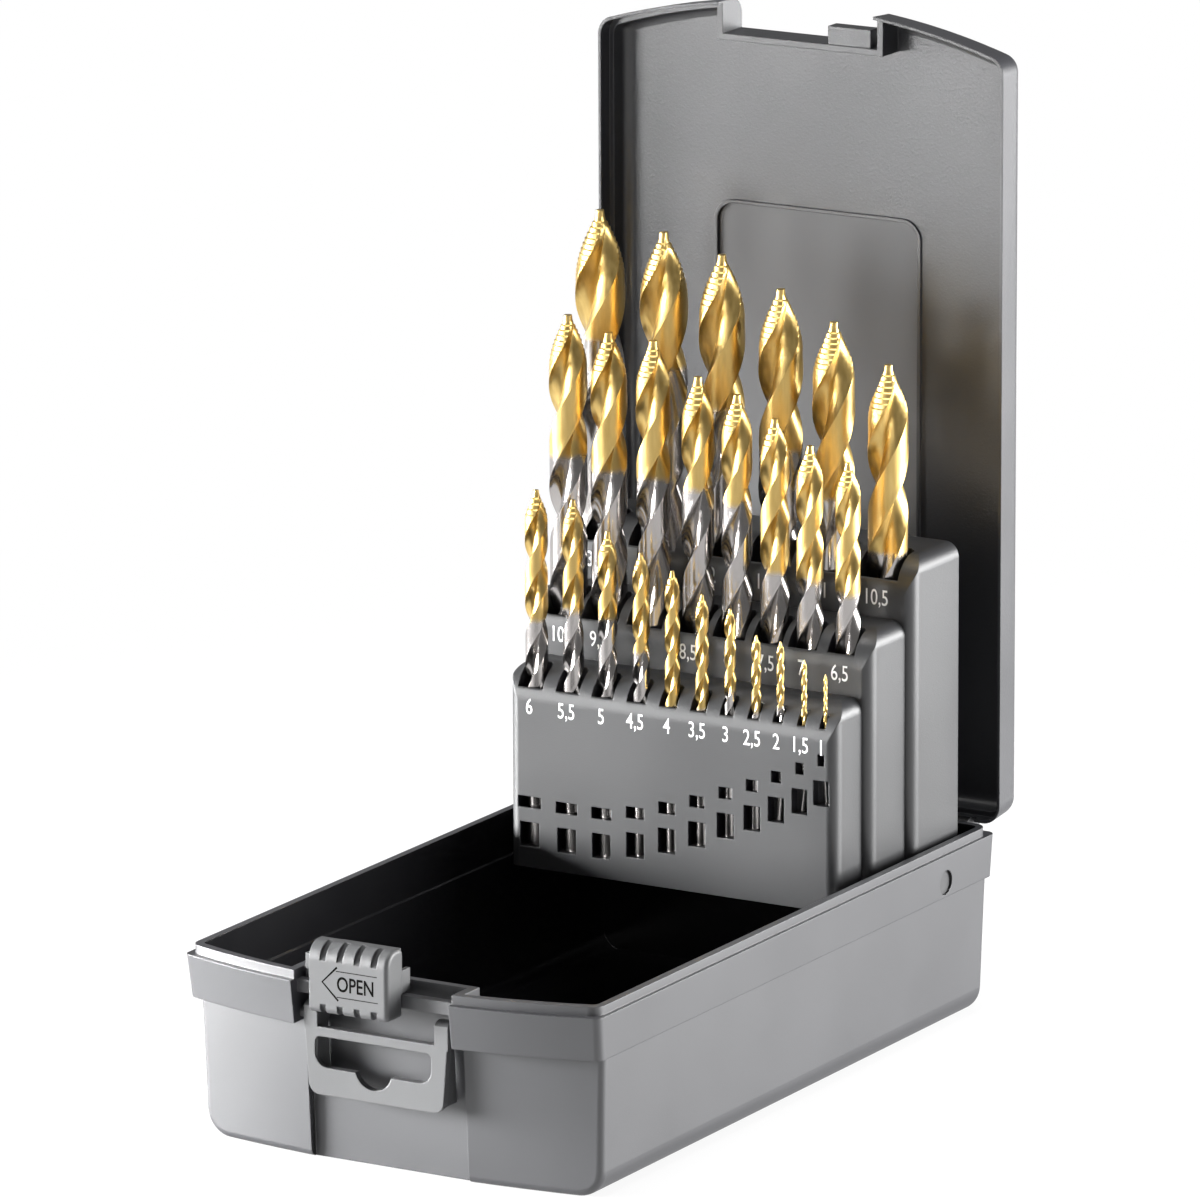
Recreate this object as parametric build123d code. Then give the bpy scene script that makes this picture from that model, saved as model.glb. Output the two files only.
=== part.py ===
from build123d import *
import math
import os
from collections import namedtuple

# Drill bit case: a deep base, a hinged lid, three stepped racks that tilt up as the lid opens,
# a sliding latch, a hanging flap and 25 twist drills.
# Millimetres. Origin at the middle of the underside of the base, +Z up, front (latch) towards -Y.
# Everything is drawn with the lid open at 90 degrees and the racks upright.

# ---- outlines seen from above: half width, front corner, rear, bow of the front, corner radius
Outline = namedtuple("Outline", "half front rear bow corner")
BODY_FOOT = Outline(57.3, -95.8, 98.7, 5.0, 2.5)
BODY_TOP = Outline(58.3, -96.5, 99.7, 7.0, 2.5)
COLLAR_FOOT = Outline(59.4, -99.6, 100.8, 9.6, 2.5)
COLLAR_TOP = Outline(59.9, -101.2, 101.3, 9.6, 2.5)
LIP = Outline(58.9, -99.45, 99.0, 9.6, 4.0)
LID_RIM = Outline(59.9, -100.4, 100.7, 9.6, 5.0)
LID_DRAFT = 0.8            # how much smaller the lid is at its top face than at its rim

# ---- heights and walls of the base
WALL = 2.0                 # base walls
FLOOR = 2.0                # base floor
COLLAR_LOW = 36.4          # underside of the thick band round the base
COLLAR_HIGH = 47.7         # top of that band
LIP_HIGH = 50.0            # top of the inner rim that the lid fits over
STEP_HIGH = 38.0           # inside step where the wall widens to the rim
SIDE_ROUND = 7.0           # rounding of the long bottom edges
END_ROUND = 2.0            # rounding round the front and rear ends
TRIM = 10.0                # how far a tool solid runs past the sides that it is cut to
TRIM_CORNER = 1.0          # its corner radius

# ---- lid
LID_DEPTH = 12.2           # rim to outer face
LID_WALL = 1.7
LID_PANEL = 2.0
LID_ROUND = 4.5            # rounding of the outer face's edges
RIM_GAP = 0.2              # lid rim to collar when closed
REBATE_DEPTH = 4.5         # thin edge of the rim that passes outside the base's lip
REBATE_WALL = 0.75

# ---- rear hinge
HINGE_BACK = 1.7           # axis behind the lid's rear wall
HINGE_Y = LID_RIM.rear + HINGE_BACK
HINGE_Z = 47.3
HINGE_PIN_R = 1.5
KNUCKLE_R = 3.2
KNUCKLE_ROOM = 0.3         # running room round and beside a knuckle
RUN_GAP = 0.06             # radial play of a pin in its hole
HINGE_ENDS = (-52.0, -38.0, -14.0, 14.0, 38.0, 52.0)   # knuckle boundaries, base first
STOP_GAP = 0.3             # open lid to the stop ledge
STOP_REACH = 4.4           # ledge behind the axis
STOP_DEPTH = 2.2           # ledge's underside below the axis
FOOT_ROOT = 0.5            # knuckle's foot inside the lip's face
FOOT_RISE = 2.0            # its lower edge above the collar's

# ---- notch for the latch, in the front of the base and lid
NOTCH_X = -1.0             # middle of the notch
NOTCH_HALF = 22.8
CHEEK = 2.2                # side walls and back wall of the notch
PANEL_LOW_Y = -97.9        # face of the sunken front panel at the bottom
PANEL_LEAN = 0.05          # how far it leans forward for each millimetre of height
RAIL_LOW = 44.2
RAIL_HIGH = 47.5
RAIL_FRONT = -106.2
RAIL_BACK = -103.8

# ---- sliding latch
SLIDE_GAP = 0.3
LATCH_FRONT = -113.0
LATCH_LEFT = -16.0         # front block
LATCH_RIGHT = 6.6
LATCH_LOW = 41.8
LATCH_HIGH = 59.6
LATCH_ROUND = 4.5          # top front edge of the block
LATCH_BACK_ROUND = 2.0
LATCH_FOOT_ROUND = 1.5
LATCH_SIDE_ROUND = 1.2
LEG_LEFT = -22.9           # wider leg behind the rail
LEG_RIGHT = 5.2
LEG_LOW = 44.6
LEG_WALL = 1.5
HOOK_LOW = 49.9            # clear space for the lid's catch
HOOK_HIGH = 55.4
BLOCK_BACK = -105.2
HOOK_TOP = 58.0            # the hook over the catch is lower and narrower than the block
HOOK_INSET = 3.0
HOOK_BACK = -101.7
TAB_HIGH = 53.6
TAB_WALL = 1.2
LATCH_TRAVEL = 14.8
GRIPS = 4                  # grip notches along the top and bottom edges
GRIP_PITCH = 4.9
GRIP_WIDTH = 1.7
GRIP_LONG = 8.0
GRIP_DEEP = 2.4
GRIP_IN = 0.6              # middle of a notch behind the front face
GRIP_DOWN = 2.0            # and below the top
GRIP_UP = 0.2              # and above the bottom

# ---- lid catch
CATCH_LEFT = 7.2
CATCH_GAP = 2.1            # its end to the notch's side wall
CATCH_RIGHT = NOTCH_X + NOTCH_HALF - CATCH_GAP
CATCH_LOW = 50.5           # when closed
CATCH_HIGH = 54.9
CATCH_FRONT = -104.6
LID_LEDGE_Y = -99.8        # face of the lid's end wall in the notch, when closed

# ---- hanging flap
FLAP_Y = -103.8            # its pivot
FLAP_Z = 38.6
FLAP_FRONT = -106.4
FLAP_WALL = 2.0
FLAP_HALF_TOP = 20.8
FLAP_HALF_FOOT = 19.2
FLAP_LOW = 18.7
FLAP_ARM = 3.9
FLAP_ARM_R = 3.6
FLAP_BAR_HIGH = 36.1
FLAP_CORNER = 3.0          # lower corners
FLAP_CHEEK_LOW = 1.5       # cheek's foot above the flap's
FLAP_CHEEK_CLEAR = 0.8     # cheek to the sunken panel
FLAP_CHEEK_BACK = 0.6      # cheek's back within the arm's round
FLAP_CHEEK_TOP = 3.0       # upright part of the cheek's back
FLAP_CHEEK_IN = 0.5        # cheek's front inside the plate
FLAP_STUB_R = 1.3
FLAP_STUB_SEAT = 1.2       # how far a stub enters its hole
STUB_ROOM = 0.2            # past the stub's end
EURO_X = -0.8              # middle of the peg slot, from the middle of the flap
EURO_LOW = 25.8            # long slot for a peg hook
EURO_HIGH = 33.7
EURO_HALF = 16.8
EURO_TOP_ROUND = 1.5       # upper corners of the slot
EURO_FOOT_ROUND = 3.6      # lower corners
EURO_DIP_R = 5.4
EURO_DIP_Z = 27.3

# ---- racks
Rack = namedtuple("Rack", "front back half low high")
RACK_FRONT = Rack(36.9, 50.1, 48.5, 39.7, 93.5)
RACK_MIDDLE = Rack(50.1, 67.9, 51.2, 36.0, 110.0)
RACK_REAR = Rack(67.9, 91.8, 53.7, 32.0, 126.2)
RACK_BROW = 9.5            # rounding of the front top edge
RACK_SIDE_ROUND = 4.0      # top corners, seen from the front
RACK_CORNER = 3.0          # upright front corners
POCKET_SKIN = 0.7          # wall in front of a pocket
POCKET_GAP = 0.35          # play round a drill, front to back
SMALL_REACH = 1.6          # least distance from the skin to a drill's axis
POCKET_CORNER = 0.2        # slanted back corners, of the diameter
LOW_WINDOW = 6.6           # height of the window at a pocket's floor
LOW_WINDOW_WIDTH = (4.2, 0.25)     # its width: a part that is fixed, and a share of the diameter
HIGH_WINDOW = 3.1          # height of the window above it
HIGH_WINDOW_WIDTH = (0.9, 1.0)
WINDOW_PITCH = 13.5        # sill of the lower to top of the upper window
PIVOT_Y = 74.9
PIVOT_Z = 40.4
PIVOT_R = 3.2
PIVOT_SEAT = 4.5           # pin length inside the rack
PIVOT_END = 58.9           # outer end of each pin
BOSS_R = 5.0
BOSS_END = 55.9

# ---- lift links between the rear rack and the lid
LINK_X = 34.2
LINK_RACK_Y = 82.9
LINK_RACK_Z = 52.4
LINK_EYE_R = 3.1
LINK_THICK = 2.4
LINK_PIN_R = 1.5
LINK_LOOSE = 0.3           # radial play of the lid pin in the link
LINK_SLOT = 3.2
LINK_ROOM = 0.4            # round the eye
LINK_RISE = 4.0            # of the slot, over the link's slope
LINK_PIN_HALF = 4.2
EAR = 1.8                  # lid ear beside a link
EAR_R = 2.9

# ---- label card in the lid
CARD_WIDTH = 59.0
CARD_HEIGHT = 112.0
CARD_TOP = 203.0           # upper edge with the lid open
CARD_THICK = 0.5
CARD_SUNK = 0.8
CARD_CORNER = 4.5
CARD_FRAME = 1.2
CARD_GAP = 0.2

# ---- drills: diameter, place across the rack, height of the pocket floor, length
Drill = namedtuple("Drill", "size x seat length")
DRILLS_FRONT = (
    Drill(6.0, -42.3, 45.2, 94.0), Drill(5.5, -31.2, 44.9, 93.0), Drill(5.0, -20.8, 44.9, 86.0),
    Drill(4.5, -10.7, 46.4, 80.0), Drill(4.0, -1.3, 48.9, 74.0), Drill(3.5, 7.6, 51.8, 66.0),
    Drill(3.0, 16.0, 55.2, 60.0), Drill(2.5, 23.8, 58.2, 51.0), Drill(2.0, 30.9, 61.4, 47.0),
    Drill(1.5, 37.8, 64.5, 40.0), Drill(1.0, 44.0, 67.4, 34.0))
DRILLS_MIDDLE = (
    Drill(10.0, -41.6, 49.4, 133.0), Drill(9.5, -29.3, 54.1, 125.0), Drill(9.0, -16.0, 53.5, 125.0),
    Drill(8.5, -2.6, 53.5, 117.0), Drill(8.0, 9.0, 50.2, 117.0), Drill(7.5, 20.3, 53.2, 109.0),
    Drill(7.0, 30.7, 47.4, 109.0), Drill(6.5, 42.0, 52.3, 101.0))
DRILLS_REAR = (
    Drill(13.0, -43.3, 56.3, 150.0), Drill(12.5, -24.1, 51.5, 151.0), Drill(12.0, -6.7, 47.4, 151.0),
    Drill(11.5, 10.8, 49.3, 142.0), Drill(11.0, 26.5, 42.4, 142.0), Drill(10.5, 42.6, 42.0, 133.0))
SEAT_GAP = 0.1             # drill end above the pocket floor
HELIX = 30.0               # degrees
TIP_LENGTH = 1.3           # of the diameter
TIP_FLAT = 0.1             # radius of the flat point, of the diameter
TIP_TAPER = 1.6            # power of the point's curve
TIP_STEP = 3.0             # height of one of the point's steps
TIP_RISER = 0.25           # share of a step's height that slopes
TIP_TURN = -60.0           # direction of a land at the very point, degrees from +X
WEB = 0.18                 # half thickness of the core, of the diameter
WEB_POINT = 0.6            # and the most that it takes of the point's radius
LAND = 40.0                # half angle of each land, degrees
TURN_STEP = 50.0           # twist between two sections, degrees
SHANK = 0.28               # plain shank, of the length
SHANK_SLIM = 0.92          # its radius, of the fluted part's

EPS = 0.01
OVER = 1.0                 # how far a cut or a buried root runs past a face
REACH = 200.0              # longer than any part of the case


def lerp(low, high, share):
    """An outline a given share of the way from one to another."""
    return Outline(*(a + (b - a) * share for a, b in zip(low, high)))


def inset(outline, wall):
    """The same outline drawn a wall's thickness further in."""
    corner = max(outline.corner - wall, 0.6)
    return Outline(outline.half - wall, outline.front + wall, outline.rear - wall,
                   outline.bow, corner)


def plan(outline, z):
    """Face of an outline at a height: straight sides and rear, front bowed forward in an arc."""
    o = outline
    front = ThreePointArc((-o.half, o.front), (0, o.front - o.bow), (o.half, o.front))
    sides = Polyline((o.half, o.front), (o.half, o.rear), (-o.half, o.rear), (-o.half, o.front))
    face = make_face([front.edge()] + list(sides.edges()))
    return Pos(0, 0, z) * fillet(face.vertices(), o.corner)


def tub(low, high, z_low, z_high):
    """Solid between two outlines."""
    return loft([plan(low, z_low), plan(high, z_high)])


def block(x, y, z):
    """Box between the limits given as (low, high) pairs."""
    box = Box(x[1] - x[0], y[1] - y[0], z[1] - z[0])
    return Pos((x[0] + x[1]) / 2, (y[0] + y[1]) / 2, (z[0] + z[1]) / 2) * box


def rod(x_low, x_high, y, z, radius):
    """Cylinder along X."""
    turned = Rot(0, 90, 0) * Cylinder(radius, x_high - x_low)
    return Pos((x_low + x_high) / 2, y, z) * turned


def side_profile(points, x_low, x_high):
    """Polygon of (y, z) points, extruded along X."""
    face = make_face(Polyline(*points, close=True).edges())
    swept = extrude(Plane.YZ * face, x_high - x_low)
    return Pos(x_low, 0, 0) * swept


def panel_y(z):
    """Face of the sunken front panel at a height."""
    return PANEL_LOW_Y - PANEL_LEAN * z


def in_front_of_panel(x_low, x_high, behind, z_low, z_high):
    """Everything in front of the sunken panel's face, moved back by a distance."""
    points = [(-REACH, z_low), (panel_y(z_low) + behind, z_low),
              (panel_y(z_high) + behind, z_high), (-REACH, z_high)]
    return side_profile(points, x_low, x_high)


def spans(owner):
    """X limits of the hinge knuckles of the base (0) or the lid (1)."""
    pairs = zip(HINGE_ENDS[:-1], HINGE_ENDS[1:])
    return [pair for i, pair in enumerate(pairs) if i % 2 == owner]


def knuckle_cuts(owner):
    """Room round the other side's knuckles."""
    radius = KNUCKLE_R + KNUCKLE_ROOM
    return [rod(a - KNUCKLE_ROOM, b + KNUCKLE_ROOM, HINGE_Y, HINGE_Z, radius)
            for a, b in spans(1 - owner)]


# ------------------------------------------------------------------ base
def widened(outline, extra):
    """The same front arc and rear, with the sides further out and small corners."""
    o = outline
    radius = (o.half ** 2 + o.bow ** 2) / (2 * o.bow)
    half = o.half + extra
    bow = radius - math.sqrt(radius ** 2 - half ** 2)
    return Outline(half, o.front - o.bow + bow, o.rear, bow, TRIM_CORNER)


def long_trough(low_half, high_half, z_low, z_high, radius):
    """Bar along Y with leaning sides and rounded bottom corners."""
    points = [(-low_half, z_low), (low_half, z_low), (high_half, z_high), (-high_half, z_high)]
    face = make_face(Polyline(*points, close=True).edges())
    face = fillet(face.vertices().group_by(Axis.Y)[0], radius)
    return Pos(0, REACH, 0) * extrude(Plane.XZ * face, 2 * REACH)


def rounded_tub(low, high, z_low, z_high, radius):
    """Tub with well rounded long bottom edges."""
    ends = tub(widened(low, TRIM), widened(high, TRIM), z_low, z_high)
    return ends & long_trough(low.half, high.half, z_low, z_high, radius)


def base_outside():
    body = rounded_tub(BODY_FOOT, BODY_TOP, 0, COLLAR_LOW, SIDE_ROUND)
    rims = [edge for edge in body.edges()
            if edge.center().Z < COLLAR_LOW - 1 and abs(edge.center().Y) > BODY_FOOT.half]
    body = fillet(rims, END_ROUND)
    collar = tub(COLLAR_FOOT, COLLAR_TOP, COLLAR_LOW, COLLAR_HIGH)
    lip = tub(LIP, LIP, COLLAR_HIGH, LIP_HIGH)
    return body + collar + lip


def base_inside():
    share = STEP_HIGH / COLLAR_LOW
    low = inset(lerp(BODY_FOOT, BODY_TOP, FLOOR / COLLAR_LOW), WALL)
    high = inset(lerp(BODY_FOOT, BODY_TOP, share), WALL)
    tray = rounded_tub(low, high, FLOOR, STEP_HIGH, SIDE_ROUND - WALL)
    mouth = inset(LIP, WALL)
    return tray + tub(mouth, mouth, STEP_HIGH - EPS, LIP_HIGH + OVER)


def base_shell():
    outside = base_outside()
    base = outside - base_inside()
    left = NOTCH_X - NOTCH_HALF
    right = NOTCH_X + NOTCH_HALF
    # walls that close the box behind and beside the notch
    back_wall = in_front_of_panel(left - CHEEK, right + CHEEK, CHEEK, 0, LIP_HIGH)
    base += outside & back_wall
    base -= in_front_of_panel(left, right, 0, -OVER, LIP_HIGH + OVER)
    # rail that the latch rides on
    base += block((left - OVER, right + OVER), (RAIL_FRONT, RAIL_BACK), (RAIL_LOW, RAIL_HIGH))
    # blind holes for the flap's stubs
    depth = FLAP_STUB_SEAT + STUB_ROOM
    hole = FLAP_STUB_R + RUN_GAP
    base -= rod(left - depth, left + OVER, FLAP_Y, FLAP_Z, hole)
    base -= rod(right - OVER, right + depth, FLAP_Y, FLAP_Z, hole)
    # holes for the rack pivots
    for side in (-1, 1):
        ends = sorted((side * (BODY_FOOT.half - 3 * WALL), side * (COLLAR_TOP.half + OVER)))
        base -= rod(*ends, PIVOT_Y, PIVOT_Z, PIVOT_R + RUN_GAP)
    return hinge_side_of_base(base)


def hinge_side_of_base(base):
    """Knuckles, their feet and the ledge that stops the open lid."""
    for cut in knuckle_cuts(0):
        base -= cut
    stop_top = HINGE_Z + (HINGE_Y - LID_RIM.rear) - STOP_GAP
    root = LIP.rear - FOOT_ROOT
    foot_low = COLLAR_LOW + FOOT_RISE
    ledge = HINGE_Y + STOP_REACH
    for a, b in spans(0):
        foot = [(root, foot_low), (COLLAR_FOOT.rear, foot_low), (ledge, HINGE_Z - STOP_DEPTH),
                (ledge, stop_top), (HINGE_Y, stop_top), (HINGE_Y, HINGE_Z), (root, HINGE_Z)]
        base += side_profile(foot, a, b) + rod(a, b, HINGE_Y, HINGE_Z, KNUCKLE_R)
    base -= rod(HINGE_ENDS[0] - OVER, HINGE_ENDS[-1] + OVER, HINGE_Y, HINGE_Z, HINGE_PIN_R + RUN_GAP)
    return base


def hinge_pin():
    return rod(HINGE_ENDS[0], HINGE_ENDS[-1], HINGE_Y, HINGE_Z, HINGE_PIN_R)


# ------------------------------------------------------------------ lid, drawn closed
RIM_Z = COLLAR_HIGH + RIM_GAP
LID_TOP_Z = RIM_Z + LID_DEPTH
PANEL_Z = LID_TOP_Z - LID_PANEL


def opened(shape):
    """Turn a closed lid shape to its drawn place, open at 90 degrees."""
    return shape.rotate(Axis((0, HINGE_Y, HINGE_Z), (1, 0, 0)), -90)


def lid_outside():
    top = inset(LID_RIM, LID_DRAFT)._replace(corner=LID_RIM.corner)
    shell = tub(LID_RIM, top, RIM_Z, LID_TOP_Z)
    return fillet(shell.edges().group_by(Axis.Z)[-1], LID_ROUND)


def lid_inside():
    low = inset(LID_RIM, LID_WALL)
    high = inset(low, LID_DRAFT)
    hollow = tub(low, high, RIM_Z - OVER, PANEL_Z)
    hollow = fillet(hollow.edges().group_by(Axis.Z)[-1], LID_ROUND - LID_PANEL)
    rebate = inset(LID_RIM, REBATE_WALL)
    return hollow + tub(rebate, rebate, RIM_Z - OVER, RIM_Z + REBATE_DEPTH)


def lid_shell():
    outside = lid_outside()
    lid = outside - lid_inside()
    left = NOTCH_X - NOTCH_HALF
    right = NOTCH_X + NOTCH_HALF
    tall = (RIM_Z - OVER, LID_TOP_Z + OVER)
    walls = block((left - LID_WALL, right + LID_WALL), (-REACH, LID_LEDGE_Y + LID_WALL), tall)
    lid += outside & walls
    rebate = inset(LID_RIM, REBATE_WALL)
    lid -= tub(rebate, rebate, RIM_Z - OVER, LIP_HIGH + RIM_GAP)
    lid -= block((left, right), (-REACH, LID_LEDGE_Y), tall)
    catch = block((CATCH_LEFT, CATCH_RIGHT), (CATCH_FRONT, LID_LEDGE_Y + EPS), (CATCH_LOW, CATCH_HIGH))
    lid += catch
    lid = hinge_side_of_lid(lid)
    lid = with_card_frame(lid)
    for side in (-1, 1):
        lid += lid_ears(side * LINK_X)
    lid -= rod(-REACH, REACH, *lid_pin_closed(), LINK_PIN_R) & ear_zone()
    return opened(lid)


def hinge_side_of_lid(lid):
    for cut in knuckle_cuts(1):
        lid -= cut
    inner = LID_RIM.rear - LID_WALL
    for a, b in spans(1):
        web = block((a, b), (inner, HINGE_Y), (RIM_Z, HINGE_Z + KNUCKLE_R))
        lid += web + rod(a, b, HINGE_Y, HINGE_Z, KNUCKLE_R)
    lid -= rod(HINGE_ENDS[0] - OVER, HINGE_ENDS[-1] + OVER, HINGE_Y, HINGE_Z, HINGE_PIN_R + RUN_GAP)
    return lid


def card_middle_y():
    """Middle of the label card along the closed lid."""
    return HINGE_Y - (CARD_TOP - CARD_HEIGHT / 2 - HINGE_Z)


def card_face(grow):
    shape = RectangleRounded(CARD_WIDTH + 2 * grow, CARD_HEIGHT + 2 * grow, CARD_CORNER + grow)
    return Pos(0, card_middle_y(), 0) * shape


def with_card_frame(lid):
    """Low raised frame round the sunken place of the label card."""
    frame = Pos(0, 0, PANEL_Z - CARD_FRAME / 2) * extrude(card_face(CARD_FRAME), CARD_FRAME / 2 + EPS)
    lid += frame
    sunk = Pos(0, 0, PANEL_Z - CARD_FRAME) * extrude(card_face(CARD_GAP), CARD_FRAME + CARD_SUNK)
    return lid - sunk


def label_card():
    z = PANEL_Z + CARD_SUNK - CARD_THICK
    return opened(Pos(0, 0, z) * extrude(card_face(0), CARD_THICK))


# ------------------------------------------------------------------ lift links
LINK_DY = HINGE_Y - PIVOT_Y        # a link is as long as the line from rack pivot to hinge
LINK_DZ = HINGE_Z - PIVOT_Z
LID_PIN_Y = LINK_RACK_Y + LINK_DY
LID_PIN_Z = LINK_RACK_Z + LINK_DZ


def lid_pin_closed():
    """Place (y, z) of the lid's link pin with the lid closed."""
    return HINGE_Y - (LID_PIN_Z - HINGE_Z), HINGE_Z + (LID_PIN_Y - HINGE_Y)


def ear_zone():
    """Space of the ears, which the pin holes are cut in."""
    y, z = lid_pin_closed()
    half = LINK_X + LINK_SLOT / 2 + EAR
    return block((-half, half), (y - EAR_R, y + EAR_R), (z - EAR_R, z + EAR_R))


def lid_ears(x):
    """Two ears under the lid panel, one each side of a link."""
    y, z = lid_pin_closed()
    ears = None
    for side in (-1, 1):
        near = x + side * LINK_SLOT / 2
        far = near + side * EAR
        a, b = sorted((near, far))
        ear = rod(a, b, y, z, EAR_R)
        ear += block((a, b), (y - EAR_R, y + EAR_R), (z, PANEL_Z + EPS))
        ears = ear if ears is None else ears + ear
    return ears


def lift_link(x):
    a, b = x - LINK_THICK / 2, x + LINK_THICK / 2
    rack_eye = rod(a, b, LINK_RACK_Y, LINK_RACK_Z, LINK_EYE_R)
    lid_eye = rod(a, b, LID_PIN_Y, LID_PIN_Z, LINK_EYE_R - 0.5)
    length = math.hypot(LINK_DY, LINK_DZ)
    lean = math.degrees(math.atan2(LINK_DZ, LINK_DY))
    bar = Rot(lean, 0, 0) * Box(LINK_THICK, length, 2 * (LINK_EYE_R - 0.8))
    bar = Pos(x, LINK_RACK_Y + LINK_DY / 2, LINK_RACK_Z + LINK_DZ / 2) * bar
    link = rack_eye + lid_eye + bar
    link -= rod(a - OVER, b + OVER, LINK_RACK_Y, LINK_RACK_Z, LINK_PIN_R + RUN_GAP)
    return link - rod(a - OVER, b + OVER, LID_PIN_Y, LID_PIN_Z, LINK_PIN_R + LINK_LOOSE)


def pins_at(y, z, half):
    return [rod(s * LINK_X - half, s * LINK_X + half, y, z, LINK_PIN_R) for s in (-1, 1)]


# ------------------------------------------------------------------ racks
def axis_y(rack, drill):
    """Distance of a drill's axis from the hinge side: just behind the rack's front skin."""
    return rack.front + POCKET_SKIN + max(drill.size / 2 + POCKET_GAP, SMALL_REACH)


def mouth(drill):
    """Width of a pocket across the rack."""
    return min(0.6 + 1.15 * drill.size, drill.size + 1.4)


def rack_block(rack):
    """Upright block: the space shared by its rounded side view, front view and plan."""
    depth = rack.back - rack.front
    height = rack.high - rack.low
    middle_y = (rack.front + rack.back) / 2
    middle_z = (rack.low + rack.high) / 2
    side = Rectangle(depth, height)
    brow = side.vertices().group_by(Axis.Y)[-1].sort_by(Axis.X)[0]
    side = fillet(brow, min(RACK_BROW, depth - OVER))
    front = Rectangle(2 * rack.half, height)
    front = fillet(front.vertices().group_by(Axis.Y)[-1], RACK_SIDE_ROUND)
    across = Pos(-rack.half, middle_y, middle_z) * extrude(Plane.YZ * side, 2 * rack.half)
    along = Pos(0, rack.back, middle_z) * extrude(Plane.XZ * front, depth)
    foot = Rectangle(2 * rack.half, depth)
    foot = fillet(foot.vertices().group_by(Axis.Y)[0], RACK_CORNER)
    upward = Pos(0, middle_y, rack.low) * extrude(foot, height)
    return across & along & upward


def pocket(rack, drill):
    y = axis_y(rack, drill)
    front = rack.front + POCKET_SKIN
    back = y + drill.size / 2 + POCKET_GAP
    width = mouth(drill) / 2
    hole = block((drill.x - width, drill.x + width), (front, back), (drill.seat, rack.high + OVER))
    return chamfer(hole.edges().filter_by(Axis.Z).group_by(Axis.Y)[-1], POCKET_CORNER * drill.size)


def rack_with_pockets(rack, drills):
    solid = rack_block(rack)
    for drill in drills:
        solid -= pocket(rack, drill)
    return solid


def window(drill, low, height, width):
    """Opening in the front of the rack, as deep as the pocket's back."""
    half = (width[0] + width[1] * drill.size) / 2
    back = axis_y(RACK_FRONT, drill) + drill.size / 2
    return block((drill.x - half, drill.x + half), (RACK_FRONT.front - OVER, back), (low, low + height))


def front_rack():
    """The front rack shows each drill's end through one window and its shank through another."""
    solid = rack_with_pockets(RACK_FRONT, DRILLS_FRONT)
    for drill in DRILLS_FRONT:
        sill = drill.seat + WINDOW_PITCH - HIGH_WINDOW
        solid -= window(drill, drill.seat, LOW_WINDOW, LOW_WINDOW_WIDTH)
        solid -= window(drill, sill, HIGH_WINDOW, HIGH_WINDOW_WIDTH)
    return solid


def middle_rack():
    return rack_with_pockets(RACK_MIDDLE, DRILLS_MIDDLE)


def rear_rack():
    solid = rack_with_pockets(RACK_REAR, DRILLS_REAR)
    for side in (-1, 1):
        inner, outer = sorted((side * (RACK_REAR.half - OVER), side * BOSS_END))
        solid += rod(inner, outer, PIVOT_Y, PIVOT_Z, BOSS_R)
        ends = sorted((side * (RACK_REAR.half - PIVOT_SEAT), side * (BOSS_END + OVER)))
        solid -= rod(*ends, PIVOT_Y, PIVOT_Z, PIVOT_R)
        solid -= link_slot(side * LINK_X)
    for pin in pins_at(LINK_RACK_Y, LINK_RACK_Z, LINK_PIN_HALF):
        solid -= pin
    return solid


def link_slot(x):
    """Slot through the back of the rear rack that a link swings in."""
    room = LINK_EYE_R + LINK_ROOM
    half = LINK_SLOT / 2
    return block((x - half, x + half), (LINK_RACK_Y - room, RACK_REAR.back + OVER),
                 (RACK_REAR.low - OVER, LINK_RACK_Z + room + LINK_RISE))


def rack_pivots():
    pins = []
    for side in (-1, 1):
        ends = sorted((side * (RACK_REAR.half - PIVOT_SEAT), side * PIVOT_END))
        pins.append(rod(*ends, PIVOT_Y, PIVOT_Z, PIVOT_R))
    return pins


# ------------------------------------------------------------------ latch and flap
def latch_slider():
    """Front block, a hook at its top for the lid's catch, and a leg that wraps round the rail."""
    front_inner = RAIL_FRONT - SLIDE_GAP
    top = RAIL_HIGH + SLIDE_GAP
    leg_front = RAIL_BACK + SLIDE_GAP
    leg_back = leg_front + LEG_WALL
    outline = [(LATCH_FRONT, LATCH_LOW), (front_inner, LATCH_LOW), (front_inner, top),
               (BLOCK_BACK, top), (BLOCK_BACK, LATCH_HIGH), (LATCH_FRONT, LATCH_HIGH)]
    body = side_profile(outline, LATCH_LEFT, LATCH_RIGHT)
    back_top = body.edges().filter_by(Axis.X).group_by(Axis.Z)[-1].sort_by(Axis.Y)
    body = fillet(back_top[0], LATCH_ROUND)
    body = fillet(body.edges().filter_by(Axis.X).group_by(Axis.Z)[-1], LATCH_BACK_ROUND)
    body = fillet(body.edges().filter_by(Axis.X).group_by(Axis.Z)[0].sort_by(Axis.Y)[0], LATCH_FOOT_ROUND)
    body = fillet(body.edges().group_by(Axis.X)[-1].sort_by(Axis.Y)[:3], LATCH_SIDE_ROUND)
    body -= grip_notches()
    hook = block((LATCH_LEFT + HOOK_INSET, LATCH_RIGHT - HOOK_INSET), (BLOCK_BACK - OVER, HOOK_BACK),
                 (HOOK_HIGH, HOOK_TOP))
    bridge = block((LATCH_LEFT, LEG_RIGHT), (BLOCK_BACK - OVER, leg_back), (top, HOOK_LOW))
    leg = block((LEG_LEFT, LEG_RIGHT), (leg_front, leg_back), (LEG_LOW, HOOK_LOW))
    left_tab = block((LEG_LEFT, LATCH_LEFT), (leg_front, leg_back), (HOOK_LOW, TAB_HIGH))
    right_tab = block((LEG_RIGHT, LEG_RIGHT + TAB_WALL), (BLOCK_BACK - OVER, leg_back), (top, TAB_HIGH))
    return body + hook + bridge + leg + left_tab + right_tab


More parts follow.
